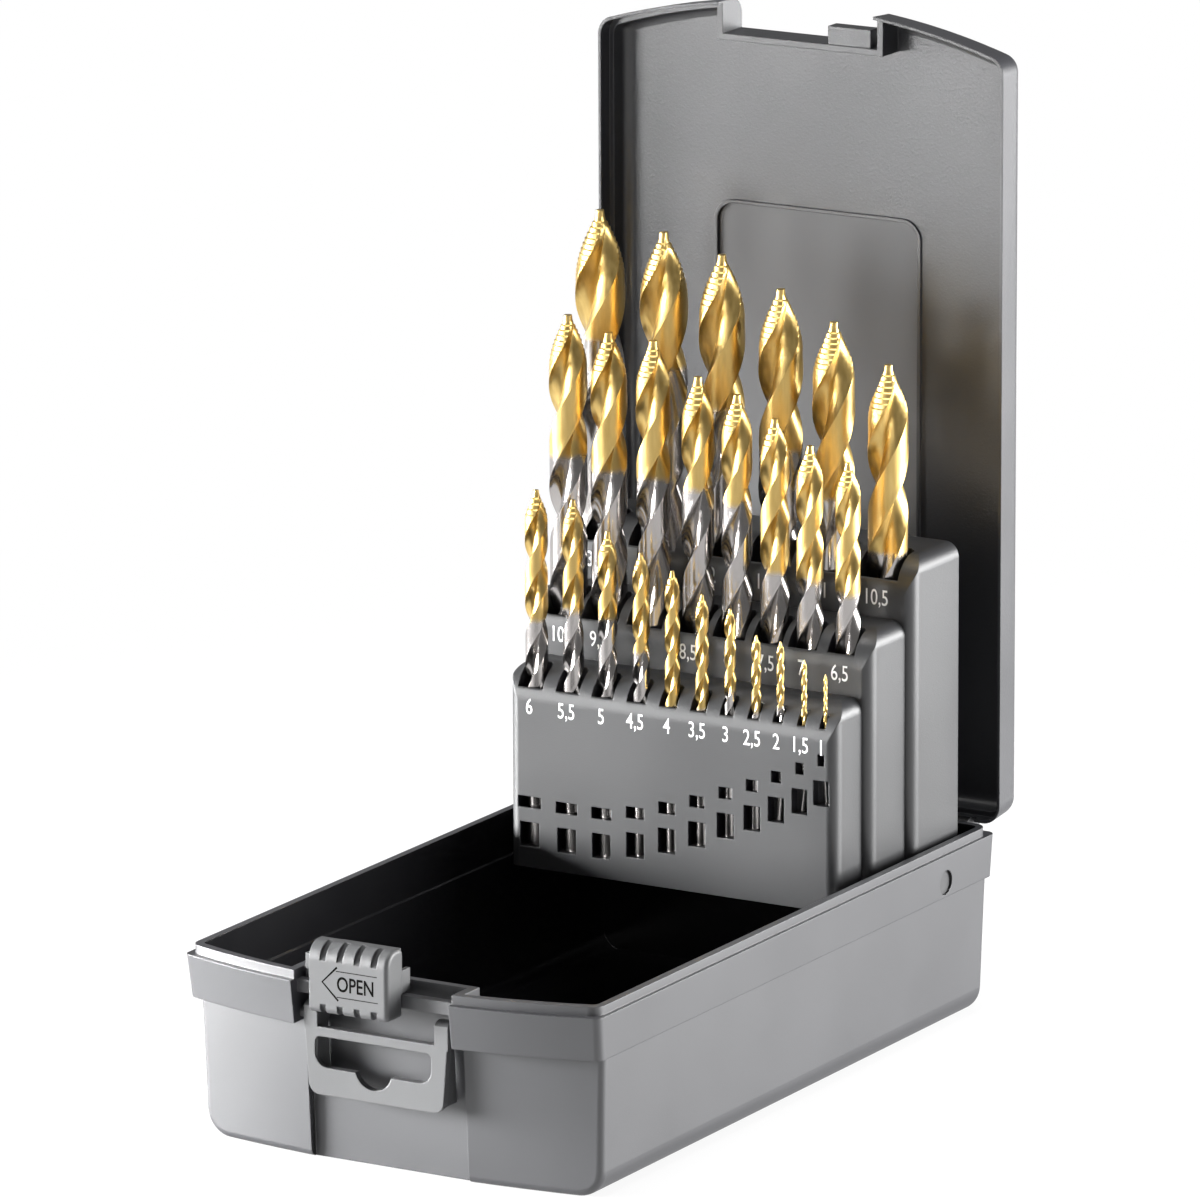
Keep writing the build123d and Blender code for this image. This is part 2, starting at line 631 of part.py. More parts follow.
def grip_notches():
    middle = (LATCH_LEFT + LATCH_RIGHT) / 2
    cuts = None
    for i in range(GRIPS):
        x = middle + (i - (GRIPS - 1) / 2) * GRIP_PITCH
        for z, lean in ((LATCH_HIGH - GRIP_DOWN, 45), (LATCH_LOW + GRIP_UP, -45)):
            cut = Pos(x, LATCH_FRONT + GRIP_IN, z) * Rot(lean, 0, 0) * Box(GRIP_WIDTH, GRIP_LONG, GRIP_DEEP)
            cuts = cut if cuts is None else cuts + cut
    return cuts


def flap_plate():
    """Front plate of the flap: a trapezium with two arms and a long slot for a peg hook."""
    top = FLAP_Z
    points = [(-FLAP_HALF_TOP, top), (-FLAP_HALF_FOOT, FLAP_LOW), (FLAP_HALF_FOOT, FLAP_LOW),
              (FLAP_HALF_TOP, top), (FLAP_HALF_TOP - FLAP_ARM, top),
              (FLAP_HALF_TOP - FLAP_ARM, FLAP_BAR_HIGH), (-FLAP_HALF_TOP + FLAP_ARM, FLAP_BAR_HIGH),
              (-FLAP_HALF_TOP + FLAP_ARM, top)]
    face = make_face(Polyline(*points, close=True).edges())
    face = fillet(face.vertices().group_by(Axis.Y)[0], FLAP_CORNER)
    slot = Rectangle(2 * EURO_HALF, EURO_HIGH - EURO_LOW)
    slot = fillet(slot.vertices().group_by(Axis.Y)[-1], EURO_TOP_ROUND)
    slot = fillet(slot.vertices().group_by(Axis.Y)[0], EURO_FOOT_ROUND)
    slot = Pos(EURO_X, (EURO_HIGH + EURO_LOW) / 2) * slot
    face -= slot + Pos(EURO_X, EURO_DIP_Z) * Circle(EURO_DIP_R)
    plate = extrude(Plane.XZ * face, FLAP_WALL)
    return Pos(NOTCH_X, FLAP_FRONT + FLAP_WALL, 0) * plate


def flap_cheek(side):
    """Side wall of the flap, from the plate back towards the sunken panel, with its pivot stub."""
    outer = NOTCH_X + side * FLAP_HALF_FOOT
    inner = outer - side * FLAP_WALL
    a, b = sorted((inner, outer))
    front = FLAP_FRONT + FLAP_CHEEK_IN
    foot = FLAP_LOW + FLAP_CHEEK_LOW
    back = FLAP_Y + FLAP_ARM_R - FLAP_CHEEK_BACK
    points = [(front, foot), (panel_y(FLAP_LOW) - FLAP_CHEEK_CLEAR, foot),
              (back, FLAP_Z - FLAP_CHEEK_TOP), (back, FLAP_Z), (front, FLAP_Z)]
    return side_profile(points, a, b)


def flap_arm(side):
    """Rounded top of an arm round the pivot, and the stub that turns in the base."""
    outer = NOTCH_X + side * FLAP_HALF_TOP
    a, b = sorted((outer, outer - side * FLAP_ARM))
    arm = rod(a, b, FLAP_Y, FLAP_Z, FLAP_ARM_R)
    arm &= block((a, b), (FLAP_FRONT, 0), (0, REACH))
    arm += block((a, b), (FLAP_FRONT, FLAP_Y), (FLAP_BAR_HIGH - OVER, FLAP_Z))
    stub_end = NOTCH_X + side * (NOTCH_HALF + FLAP_STUB_SEAT)
    c, d = sorted((outer - side * 1, stub_end))
    return arm + rod(c, d, FLAP_Y, FLAP_Z, FLAP_STUB_R)


def hanger_flap():
    flap = flap_plate()
    for side in (-1, 1):
        flap += flap_cheek(side) + flap_arm(side)
    return flap


# ------------------------------------------------------------------ drills
def section(radius, web, turn, x, y, z):
    """Six corners of a two-flute section: two lands of two corners, and the waist between them."""
    points = []
    for flip in (0, 180):
        for angle, reach in ((-LAND, radius), (LAND, radius), (90, web)):
            a = math.radians(turn + flip + angle)
            points.append(Vector(x + reach * math.cos(a), y + reach * math.sin(a), z))
    return points


def point_rows(drill, tip_low, top):
    """Heights and radii of the point: treads and short slopes, from the full radius to a flat."""
    r = drill.size / 2
    steps = max(2, round((top - tip_low) / TIP_STEP))
    tread = (top - tip_low) / steps
    rows = []
    for i in range(1, steps + 1):
        radius = r * (1 - (i / steps) ** TIP_TAPER * (1 - 2 * TIP_FLAT))
        start = tip_low + (i - 1) * tread
        rows.append((start + TIP_RISER * tread, radius))
        rows.append((start + tread, radius))
    return rows


def drill_sections(drill, y):
    """Sections from the shank up to the stepped point, turned to a right-hand helix."""
    r = drill.size / 2
    low = drill.seat + SEAT_GAP
    top = low + drill.length - SEAT_GAP
    shank_top = low + SHANK * drill.length
    tip_low = top - TIP_LENGTH * drill.size
    lead = 2 * math.pi * r / math.tan(math.radians(HELIX))
    slim = SHANK_SLIM * r
    rows = [(low, slim, slim), (shank_top, slim, slim)]
    turns = max(2, math.ceil((tip_low - shank_top) / (lead * TURN_STEP / 360)))
    for i in range(1, turns + 1):
        rows.append((shank_top + (tip_low - shank_top) * i / turns, r, WEB * drill.size))
    for z, radius in point_rows(drill, tip_low, top):
        rows.append((z, radius, min(WEB * drill.size, WEB_POINT * radius)))
    return [section(radius, web, TIP_TURN + 360 * (max(z, shank_top) - top) / lead, drill.x, y, z)
            for z, radius, web in rows]


def twist_drill(drill, y):
    """Closed solid of flat facets between the sections."""
    rings = drill_sections(drill, y)
    faces = []
    for low, high in zip(rings[:-1], rings[1:]):
        for i in range(len(low)):
            j = (i + 1) % len(low)
            faces.append(facet(low[i], low[j], high[j]))
            faces.append(facet(low[i], high[j], high[i]))
    faces.append(Face(Wire.make_polygon(list(reversed(rings[0])), close=True)))
    faces.append(Face(Wire.make_polygon(rings[-1], close=True)))
    return Solid(Shell(faces))


def facet(a, b, c):
    return Face(Wire.make_polygon([a, b, c], close=True))


def drill_name(drill):
    return f"drill_{drill.size:.1f}".replace(".", "_")


def drills():
    rows = ((RACK_FRONT, DRILLS_FRONT), (RACK_MIDDLE, DRILLS_MIDDLE), (RACK_REAR, DRILLS_REAR))
    return {drill_name(d): twist_drill(d, axis_y(rack, d)) for rack, row in rows for d in row}


def all_parts():
    parts = {
        "base_shell": base_shell(),
        "lid_shell": lid_shell(),
        "label_card": label_card(),
        "rack_front": front_rack(),
        "rack_middle": middle_rack(),
        "rack_rear": rear_rack(),
        "rack_pivots": Compound(rack_pivots()),
        "hinge_pin": hinge_pin(),
        "latch_slider": latch_slider(),
        "hanger_flap": hanger_flap(),
        "lift_link_left": lift_link(-LINK_X),
        "lift_link_right": lift_link(LINK_X),
        "link_pins_rack": Compound(pins_at(LINK_RACK_Y, LINK_RACK_Z, LINK_PIN_HALF)),
        "link_pins_lid": Compound(pins_at(LID_PIN_Y, LID_PIN_Z, LINK_SLOT / 2 + EAR)),
    }
    parts.update(drills())
    return parts


os.makedirs("parts", exist_ok=True)
for name, part in all_parts().items():
    export_step(part, f"parts/{name}.step")
    print(name, round(part.volume, 1))
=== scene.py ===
import math

import bmesh
import bpy
import numpy as np
from mathutils import Matrix, Vector


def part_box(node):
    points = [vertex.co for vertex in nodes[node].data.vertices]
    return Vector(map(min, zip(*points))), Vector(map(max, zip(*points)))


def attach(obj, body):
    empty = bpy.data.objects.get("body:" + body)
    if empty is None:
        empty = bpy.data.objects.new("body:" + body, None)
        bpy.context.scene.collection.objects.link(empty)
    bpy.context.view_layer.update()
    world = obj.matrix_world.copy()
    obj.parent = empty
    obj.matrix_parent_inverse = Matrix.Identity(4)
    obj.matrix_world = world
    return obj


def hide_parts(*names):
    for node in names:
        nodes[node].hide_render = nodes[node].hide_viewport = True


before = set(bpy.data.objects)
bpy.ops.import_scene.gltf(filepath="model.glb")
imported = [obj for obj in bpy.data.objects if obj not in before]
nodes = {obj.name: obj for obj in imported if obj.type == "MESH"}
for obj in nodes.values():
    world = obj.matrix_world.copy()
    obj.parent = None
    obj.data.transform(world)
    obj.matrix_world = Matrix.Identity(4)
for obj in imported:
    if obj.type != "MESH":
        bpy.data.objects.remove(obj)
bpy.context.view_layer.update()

# %% [markdown]
# The drills are told apart by their names, which end in the size: drill_5_5 is 5.5 mm. A
# drill's box is centred on its axis, so the box also says where the axis stands.
# %% Find the drills
MM = 0.001
sizes = {name: float(name[6:].replace("_", ".")) for name in nodes if name.startswith("drill_")}
drill_names = sorted(sizes, key=sizes.get)
print(len(drill_names), "drills from", sizes[drill_names[0]], "to", sizes[drill_names[-1]], "mm")

# %% [markdown]
# ## Camera
# A long lens from almost three metres keeps upright edges upright and parallel edges nearly
# parallel, as in a catalogue. The camera is set by its own three directions.
# %% Place the camera
EYE = Vector((1.3574, -2.3007, 0.7791))
RIGHT = Vector((0.8615, 0.5078, 0.0))
BACK = Vector((0.4933, -0.8366, 0.2382))
LENS = 327.2
ROLL = math.radians(-0.2)


def place_camera():
    """Camera axes are the columns of its rotation: right, up = back x right, and back."""
    camera = bpy.data.objects.new("camera", bpy.data.cameras.new("camera"))
    bpy.context.scene.collection.objects.link(camera)
    back = BACK.normalized()
    right = (RIGHT - RIGHT.dot(back) * back).normalized()
    up = back.cross(right)
    turn = Matrix((right, up, back)).transposed().to_4x4()
    camera.matrix_world = Matrix.Translation(EYE) @ turn @ Matrix.Rotation(ROLL, 4, "Z")
    camera.data.lens = LENS
    camera.data.clip_start = 0.1
    camera.data.clip_end = 20
    bpy.context.scene.camera = camera
    return camera


camera = place_camera()
print("camera at", tuple(camera.location), "lens", LENS)

# %% [markdown]
# ## Floor and background
# A white floor without a horizon. Its material mixes a white glow, which only the camera,
# mirrors and glass see, with a plain white surface, whose own shading carries the shadow. Near
# the object the glow leaves that shading some room; further out it is all there is, so the
# floor ends in the same white as the background.
#
# Materials are built as node trees. These helpers keep that short: one adds a node, one does
# sums, and one makes a smooth step.
# %% Helpers for node trees


def new_material(name):
    """An empty node material with its tree and output."""
    material = bpy.data.materials.new(name)
    material.use_nodes = True
    tree = material.node_tree
    tree.nodes.clear()
    return material, tree, tree.nodes.new("ShaderNodeOutputMaterial")


def add(tree, kind, **values):
    """A node with its properties or, by socket name, its inputs."""
    node = tree.nodes.new(kind)
    for key, value in values.items():
        socket = key.replace("_", " ")
        if socket in node.inputs:
            node.inputs[socket].default_value = value
        else:
            setattr(node, key, value)
    return node


def math_node(tree, operation, first, second):
    """A Math node whose inputs are numbers or sockets."""
    node = tree.nodes.new("ShaderNodeMath")
    node.operation = operation
    for place, value in enumerate((first, second)):
        if isinstance(value, (int, float)):
            node.inputs[place].default_value = value
        else:
            tree.links.new(value, node.inputs[place])
    return node.outputs[0]


def ramp(tree, factor, low, high, low_value=0.0, high_value=1.0):
    """A smooth step of a factor from one value to another."""
    node = tree.nodes.new("ShaderNodeMapRange")
    node.interpolation_type = "SMOOTHSTEP"
    node.inputs["From Min"].default_value = low
    node.inputs["From Max"].default_value = high
    node.inputs["To Min"].default_value = low_value
    node.inputs["To Max"].default_value = high_value
    tree.links.new(factor, node.inputs["Value"])
    return node.outputs["Result"]


print("helpers ready")

# %% [markdown]
# Every new piece is a surface on a grid. Its points are worked out as one array, row by row, and
# each cell between four neighbours becomes a face. If a row runs round a closed outline, its
# last point is joined to its first.
# %% Helpers for surfaces


def surface(name, points, closed=False):
    """A mesh from a grid of points, shape (rows, columns, 3): each cell is one four-sided face."""
    rows, columns = points.shape[:2]
    index = np.arange(rows * columns).reshape(rows, columns)
    if closed:
        index = np.concatenate([index, index[:, :1]], axis=1)
    faces = np.stack([index[:-1, :-1], index[:-1, 1:], index[1:, 1:], index[1:, :-1]], axis=-1)
    mesh = bpy.data.meshes.new(name)
    mesh.from_pydata(points.reshape(-1, 3).tolist(), [], faces.reshape(-1, 4).tolist())
    mesh.update()
    return mesh


def link(name, mesh):
    """An object at the origin that shows a mesh."""
    piece = bpy.data.objects.new(name, mesh)
    bpy.context.scene.collection.objects.link(piece)
    return piece


print("surface helpers ready")

# %% Make the floor
FLOOR_HALF = 6.0             # half the floor's width, metres
FLOOR_WHITE = 0.9            # colour of its plain surface
FLOOR_GLOW = 0.82            # share of the glow under the object; the rest shows its shadow
SHADOW_REACH = (0.22, 0.60)  # the glow grows to the whole between these distances, metres


def floor_material():
    """White to the camera, darker only where the object shades it."""
    material, tree, out = new_material("floor_white")
    diffuse = add(tree, "ShaderNodeBsdfDiffuse", Color=(FLOOR_WHITE, FLOOR_WHITE, FLOOR_WHITE, 1))
    glow = add(tree, "ShaderNodeEmission", Color=(1, 1, 1, 1), Strength=1.0)
    path = add(tree, "ShaderNodeLightPath")
    seen = math_node(tree, "MAXIMUM", path.outputs["Is Camera Ray"], path.outputs["Is Glossy Ray"])
    seen = math_node(tree, "MAXIMUM", seen, path.outputs["Is Transmission Ray"])
    place = add(tree, "ShaderNodeTexCoord")
    reach = add(tree, "ShaderNodeVectorMath", operation="LENGTH")
    tree.links.new(place.outputs["Object"], reach.inputs[0])
    glow_share = ramp(tree, reach.outputs["Value"], *SHADOW_REACH, FLOOR_GLOW, 1.0)
    share = math_node(tree, "MULTIPLY", seen, glow_share)
    mix = add(tree, "ShaderNodeMixShader")
    tree.links.new(share, mix.inputs[0])
    tree.links.new(diffuse.outputs[0], mix.inputs[1])
    tree.links.new(glow.outputs[0], mix.inputs[2])
    tree.links.new(mix.outputs[0], out.inputs["Surface"])
    return material


u = np.linspace(-FLOOR_HALF, FLOOR_HALF, 2)
x, y = np.meshgrid(u, u)
floor = link("floor", surface("floor", np.stack([x, y, np.zeros_like(x)], axis=-1)))
floor.data.materials.append(floor_material())
print("floor", FLOOR_HALF * 2, "m square")

# %% [markdown]
# ## Light
# The world is an even pale dome, and five softboxes do the modelling. A dark plastic shows
# little of its own colour: what is seen on it is mostly the mirror image of the studio, so
# each softbox stands where one of the case's sides will reflect it. Two on the left have grids:
# a narrow beam brightens the face it is aimed at and leaves the next face dark.
# %% Light the studio
DOME_FILL = 0.10           # strength of the dome as a light
DOME_GLOSS = 0.22          # and in reflections


def softbox(name, place, target, width, height, power, spread):
    """A rectangular lamp that faces its target. A grid narrows its beam to a spread in degrees."""
    lamp = bpy.data.lights.new(name, "AREA")
    lamp.shape = "RECTANGLE"
    lamp.size, lamp.size_y = width, height
    lamp.energy = power
    lamp.spread = math.radians(spread)
    obj = bpy.data.objects.new(name, lamp)
    bpy.context.scene.collection.objects.link(obj)
    obj.location = place
    aim = (Vector(target) - Vector(place)).normalized()
    obj.rotation_mode = "QUATERNION"
    obj.rotation_quaternion = aim.to_track_quat("-Z", "Y")


def around(azimuth, distance, height):
    """A place by its direction from +X in degrees, its distance and its height in metres."""
    angle = math.radians(azimuth)
    return (distance * math.cos(angle), distance * math.sin(angle), height)


def light_world():
    """A dome that is white behind the object, pale in reflections and soft as a light."""
    world = bpy.data.worlds.new("dome")
    bpy.context.scene.world = world
    world.use_nodes = True
    tree = world.node_tree
    tree.nodes.clear()
    out = tree.nodes.new("ShaderNodeOutputWorld")
    path = add(tree, "ShaderNodeLightPath")
    gloss = math_node(tree, "MULTIPLY", path.outputs["Is Glossy Ray"], DOME_GLOSS)
    strength = math_node(tree, "MAXIMUM", path.outputs["Is Camera Ray"], gloss)
    strength = math_node(tree, "MAXIMUM", strength, path.outputs["Is Transmission Ray"])
    strength = math_node(tree, "MAXIMUM", strength, DOME_FILL)
    dome = add(tree, "ShaderNodeBackground", Color=(1, 1, 1, 1))
    tree.links.new(strength, dome.inputs["Strength"])
    tree.links.new(dome.outputs[0], out.inputs["Surface"])


MIDDLE = (0.0, 0.0, 0.10)
OPEN_BEAM = 180            # spread of a softbox without a grid, degrees
SOFTBOXES = (
    # name, place, target, width and height in metres, power in watts, spread in degrees
    ("left_low_box", around(-148, 0.80, 0.12), (-0.14, -0.17, 0.0), 0.60, 0.24, 5.1, 40),
    ("lid_box", around(-120, 1.60, 0.15), (0.0, 0.10, 0.45), 0.80, 0.25, 1.0, 25),
    ("right_low_box", around(30, 1.00, 0.20), (0.06, 0.0, 0.05), 0.80, 0.38, 33, OPEN_BEAM),
    ("left_box", (-1.5, 0.3, 0.9), MIDDLE, 0.9, 0.9, 6, OPEN_BEAM),
    ("top_box", (0.0, 0.0, 1.9), MIDDLE, 1.2, 1.2, 26, OPEN_BEAM),
)
light_world()
for box in SOFTBOXES:
    softbox(*box)
bpy.context.scene.view_settings.view_transform = "Standard"
print(len(SOFTBOXES), "softboxes and a dome")

# %% [markdown]
# ## A shared effect
# A mould is spark-eroded, which leaves a fine grain on all that comes out of it: a noise a few
# tenths of a millimetre across, over slow changes a few centimetres wide. Most finishes use
# it, so it is a node group that is built once. The plastics set its size; pins, card and ink
# take it as it is.
# %% Grain group


def new_group(name, inputs, outputs):
    """A shader group with float inputs (name, default) and outputs (name, socket type)."""
    group = bpy.data.node_groups.new(name, "ShaderNodeTree")
    for label, value in inputs:
        socket = group.interface.new_socket(label, in_out="INPUT", socket_type="NodeSocketFloat")
        socket.default_value = value
    for label, kind in outputs:
        group.interface.new_socket(label, in_out="OUTPUT", socket_type=kind)
    return group, group.nodes.new("NodeGroupInput"), group.nodes.new("NodeGroupOutput")


def make_grain():
    """Height = fine noise + a little coarse noise; Mask = the coarse noise alone."""
    group, given, out = new_group(
        "mould_grain", [("Size mm", 0.35), ("Coarse", 0.25)],
        [("Height", "NodeSocketFloat"), ("Mask", "NodeSocketFloat")])
    place = add(group, "ShaderNodeTexCoord")
    fine = add(group, "ShaderNodeTexNoise", Detail=3.0, Roughness=0.6)
    coarse = add(group, "ShaderNodeTexNoise", Scale=30.0, Detail=3.0)
    scale = math_node(group, "DIVIDE", 1 / MM, given.outputs["Size mm"])
    group.links.new(scale, fine.inputs["Scale"])
    for noise in (fine, coarse):
        group.links.new(place.outputs["Object"], noise.inputs["Vector"])
    share = math_node(group, "MULTIPLY", coarse.outputs["Fac"], given.outputs["Coarse"])
    group.links.new(math_node(group, "ADD", fine.outputs["Fac"], share), out.inputs["Height"])
    group.links.new(coarse.outputs["Fac"], out.inputs["Mask"])
    return group


grain = make_grain()
print("group", grain.name)

# %% [markdown]
# ## Plastics
# Every moulded piece is dark plastic with a skin of its own. The base's is satin, those of the
# lid and the racks are a little smoother, and the latch and the flap are of a paler, more matt
# plastic. One function makes them all. Softened edges come from a Bevel node, which bends the
# normal near an edge as a small real radius would.
# %% Moulded plastic
GLOSS_IOR = 1.5
TONE_SPREAD = 0.15         # how much the colour varies with the slow noise, share
ROUGH_SPREAD = 0.02        # how much the roughness does
MASK_RANGE = (0.3, 0.7)    # where most of a noise's values lie
RELIEF = 0.0001            # depth of a bump at full strength, metres
SOFT_EDGE = 0.35           # radius that edges seem to have, mm


def plastic(name, color, roughness, specular, grain_size, bump, edge=SOFT_EDGE):
    """Moulded plastic: base colour and roughness vary a little with the mould's slow noise."""
    material, tree, out = new_material(name)
    shader = add(tree, "ShaderNodeBsdfPrincipled")
    shader.inputs["Specular IOR Level"].default_value = specular
    shader.inputs["IOR"].default_value = GLOSS_IOR
    texture = add(tree, "ShaderNodeGroup", node_tree=grain)
    texture.inputs["Size mm"].default_value = grain_size
    tone = add(tree, "ShaderNodeMixRGB",
               Color1=(*((1 - TONE_SPREAD) * part for part in color), 1),
               Color2=(*((1 + TONE_SPREAD) * part for part in color), 1))
    tree.links.new(texture.outputs["Mask"], tone.inputs["Fac"])
    tree.links.new(tone.outputs[0], shader.inputs["Base Color"])
    rough = ramp(tree, texture.outputs["Mask"], *MASK_RANGE,
                 roughness - ROUGH_SPREAD, roughness + ROUGH_SPREAD)
    tree.links.new(rough, shader.inputs["Roughness"])
    soft = add(tree, "ShaderNodeBevel", samples=4, Radius=edge * MM)
    relief = add(tree, "ShaderNodeBump", Strength=bump, Distance=RELIEF)
    tree.links.new(texture.outputs["Height"], relief.inputs["Height"])
    tree.links.new(soft.outputs[0], relief.inputs["Normal"])
    tree.links.new(relief.outputs[0], shader.inputs["Normal"])
    tree.links.new(shader.outputs[0], out.inputs["Surface"])
    return material


print("a function for plastics")

# %% Make the plastics
# name, colour, roughness, specular level, size of the grain in mm, strength of its relief
case_skin = plastic("case_satin", (0.017, 0.0175, 0.021), 0.48, 1.0, 0.40, 0.20)
lid_skin = plastic("lid_satin", (0.016, 0.0165, 0.020), 0.41, 0.9, 0.60, 0.60)
rack_skin = plastic("rack_matt", (0.016, 0.0165, 0.018), 0.42, 0.85, 0.45, 0.40)
grip_skin = plastic("grip_matt", (0.045, 0.046, 0.048), 0.50, 0.65, 0.35, 0.30)
link_skin = plastic("link_plain", (0.020, 0.020, 0.022), 0.40, 0.5, 0.40, 0.10)
# painted shade: this near-black skin stands in for the shade inside the latch's sunk marks
shade_mark_skin = plastic("mark_shadow", (0.002, 0.002, 0.002), 0.70, 0.02, 0.40, 0.10, edge=0.02)
print("plastics made:", case_skin.name, lid_skin.name, rack_skin.name, grip_skin.name)

# %% [markdown]
# The tray's inside was polished in the mould, so it has clearer reflections; it is also painted
# darker, as painted shade for the inside of the tray. It is told from the satin outside by the
# way its faces look: an inner face looks towards a point in the tray's middle, an outer one away
# from it. So the sign of one dot product tells them apart, without cutting the mesh.
# %% Polish the inside of the tray and paint its shade
TRAY_EYE = (0.0, 0.0, 0.045)
PANEL_LINE = -0.0995       # the latch's notch lies in front of this
POLISH = 0.28              # how much the polish takes off the roughness
# painted shade: the colour that the tray's inside faces are darkened to
INSIDE_SHADE_COLOR = (0.006, 0.006, 0.007)


def polish_and_shade_inside(material):
    """Mix towards a smoother skin, painted darker as shade, where the normal points to the tray's
    middle.
    """
    tree = material.node_tree
    shader = tree.nodes["Principled BSDF"]
    place = add(tree, "ShaderNodeTexCoord")
    away = add(tree, "ShaderNodeVectorMath", operation="SUBTRACT")
    tree.links.new(place.outputs["Object"], away.inputs[0])
    away.inputs[1].default_value = TRAY_EYE
    facing = add(tree, "ShaderNodeVectorMath", operation="DOT_PRODUCT")
    tree.links.new(away.outputs[0], facing.inputs[0])
    tree.links.new(place.outputs["Normal"], facing.inputs[1])
    axes = add(tree, "ShaderNodeSeparateXYZ")
    tree.links.new(place.outputs["Object"], axes.inputs[0])
    inner = math_node(tree, "LESS_THAN", facing.outputs["Value"], 0.0)
    behind = math_node(tree, "GREATER_THAN", axes.outputs["Y"], PANEL_LINE)
    inside = math_node(tree, "MULTIPLY", inner, behind)
    satin = shader.inputs["Roughness"].links[0].from_socket
    smooth = math_node(tree, "MULTIPLY", inside, -POLISH)
    tree.links.new(math_node(tree, "ADD", satin, smooth), shader.inputs["Roughness"])
    color = shader.inputs["Base Color"].links[0].from_socket
    # painted shade: inside faces are mixed towards the darker colour; the polish itself is only
    # the roughness above
    painted_shade = add(tree, "ShaderNodeMixRGB", Color2=(*INSIDE_SHADE_COLOR, 1))
    tree.links.new(inside, painted_shade.inputs["Fac"])
    tree.links.new(color, painted_shade.inputs["Color1"])
    tree.links.new(painted_shade.outputs[0], shader.inputs["Base Color"])


polish_and_shade_inside(case_skin)
print("tray polished")

# %% [markdown]
# ## Card and pins
# The label is a plain grey printed sheet with a faint sheen. Pins are bright turned steel, so
# they are metallic, and only their roughness wanders a little.
# %% Label and pins
CARD = (0.130, 0.131, 0.135)
CARD_LIGHTER = (0.140, 0.141, 0.145)
STEEL_SPREAD = 0.04        # how much the pins' roughness varies


def card_material():
    """Smooth printed sheet whose grey varies a little with the slow noise."""
    material, tree, out = new_material("card_grey")
    shader = add(tree, "ShaderNodeBsdfPrincipled", Roughness=0.50, Specular_IOR_Level=0.35)
    texture = add(tree, "ShaderNodeGroup", node_tree=grain)
    tone = add(tree, "ShaderNodeMixRGB", Color1=(*CARD, 1), Color2=(*CARD_LIGHTER, 1))
    tree.links.new(texture.outputs["Mask"], tone.inputs["Fac"])
    tree.links.new(tone.outputs[0], shader.inputs["Base Color"])
    relief = add(tree, "ShaderNodeBump", Strength=0.04, Distance=RELIEF)
    tree.links.new(texture.outputs["Height"], relief.inputs["Height"])
    tree.links.new(relief.outputs[0], shader.inputs["Normal"])
    tree.links.new(shader.outputs[0], out.inputs["Surface"])
    return material


def steel_material(name, color, roughness):
    """Bright steel with a roughness that wanders a little."""
    material, tree, out = new_material(name)
    shader = add(tree, "ShaderNodeBsdfPrincipled", Metallic=1.0, Base_Color=(*color, 1))
    texture = add(tree, "ShaderNodeGroup", node_tree=grain)
    rough = ramp(tree, texture.outputs["Mask"], *MASK_RANGE,
                 roughness - STEEL_SPREAD, roughness + STEEL_SPREAD)
    tree.links.new(rough, shader.inputs["Roughness"])
    tree.links.new(shader.outputs[0], out.inputs["Surface"])
    return material


card_skin = card_material()
pin_skin = steel_material("pin_steel", (0.55, 0.55, 0.56), 0.25)
print("card and pins made")

# %% [markdown]
# A solid keeps its mesh and only changes its material. One table says which skin goes on which
# solid; the drills are left out, because finer pieces take their place further down.
# %% Dress the solids
SKINS = {
    "base_shell": case_skin, "lid_shell": lid_skin, "label_card": card_skin,
    "rack_front": rack_skin, "rack_middle": rack_skin, "rack_rear": rack_skin,
    "rack_pivots": rack_skin, "hinge_pin": pin_skin, "latch_slider": grip_skin,
    "hanger_flap": grip_skin, "lift_link_left": link_skin, "lift_link_right": link_skin,
    "link_pins_rack": pin_skin, "link_pins_lid": pin_skin,
}


def dress(name, skin):
    """Put one material in every slot of a solid."""
    mesh = nodes[name].data
    mesh.materials.clear()
    mesh.materials.append(skin)


for name, skin in SKINS.items():
    dress(name, skin)
print("dressed", len(SKINS), "solids")

# %% [markdown]
# ## Drills
# A twist drill's section is two lands joined by a thin web. Seen end on, its outline is a
# radius that depends on the angle: full on a land, with a narrow raised margin at its cutting
# edge, and falling in a hollow to the web between. The section turns evenly with height, and
# near the point the lands shrink in small steps to a flat pilot. So the surface is
# r(angle, height), worked out on a grid and turned, and one formula serves every size.
# %% The section of a drill
LAND = 40.0                # half angle of a land, degrees
FLUTE = 180 - 2 * LAND     # angle of a flute
MARGIN = 7.0               # width of the raised margin, degrees
MARGIN_EDGE = 0.8          # angle over which the margin rises from the land
MARGIN_RISE = 0.02         # how much higher it stands, share of the radius
WEB = 0.17                 # half thickness of the web, share of the diameter
WEB_POINT = 0.82           # the web thins at the point to this share of the point's radius
FACE = 0.38                # share of the flute's angle that the cutting face takes
FACE_STEEP = 0.55          # power of the cutting face's curve: below 1 it drops at once
HEEL_RISE = 1.5            # power of the heel's curve: above 1 it rises late
LAND_LINES, MARGIN_LINES, FLUTE_LINES = 11, 3, 34   # lines of points along each
BUNCH = 1.4                # power that draws the flute's lines towards its cutting edge
FIRST_LINE, LAST_LINE = 0.06, 0.99                  # where they start and end, before that


def section_angles():
    """Angles of half a section, from one land's heel over its margin and flute to the next."""
    land = np.linspace(-LAND, LAND - MARGIN, LAND_LINES)
    margin = np.linspace(LAND - MARGIN + MARGIN_EDGE, LAND, MARGIN_LINES)
    flute = LAND + FLUTE * np.linspace(FIRST_LINE, LAST_LINE, FLUTE_LINES) ** BUNCH
    return np.concatenate([land, margin, flute])


